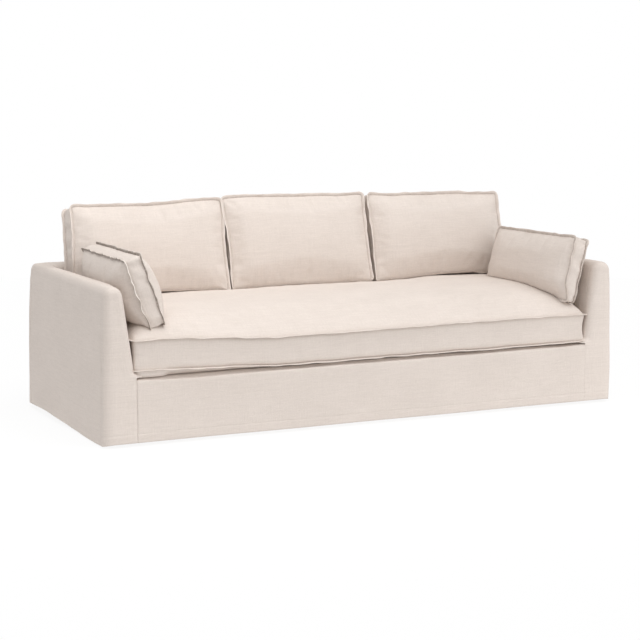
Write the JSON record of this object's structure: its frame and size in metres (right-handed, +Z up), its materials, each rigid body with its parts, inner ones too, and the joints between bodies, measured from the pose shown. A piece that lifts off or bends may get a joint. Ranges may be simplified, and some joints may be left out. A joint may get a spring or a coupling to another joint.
{
  "type": "sofa slipcover set with cushions",
  "caption": "Loose linen slipcover for a three-seat sofa, hollow inside, with a bench seat cushion, back cushions and arm pillows that have flanged seams.",
  "frame": {"origin": "middle of the bounding box at the level of the lowest hem", "axes": "+X along the front to the right as one faces it, +Y from the front to the back, +Z up; the front faces -Y"},
  "size_m": [2.4564, 1.057, 0.9418],
  "materials": {
    "linen": "natural off-white linen, plain weave with fine slubs"
  },
  "bodies": {
    "root": {"arm_front_left": "linen", "arm_front_right": "linen", "arm_pillow_left": "linen", "arm_pillow_right": "linen", "back_cushion_left": "linen", "back_cushion_middle": "linen", "back_cushion_right": "linen", "front_rail": "linen", "inside_arm_left": "linen", "inside_arm_right": "linen", "inside_back": "linen", "outside_arm_left": "linen", "outside_arm_right": "linen", "outside_back": "linen", "seat_cushion": "linen", "seat_deck": "linen"}
  },
  "joints": []
}
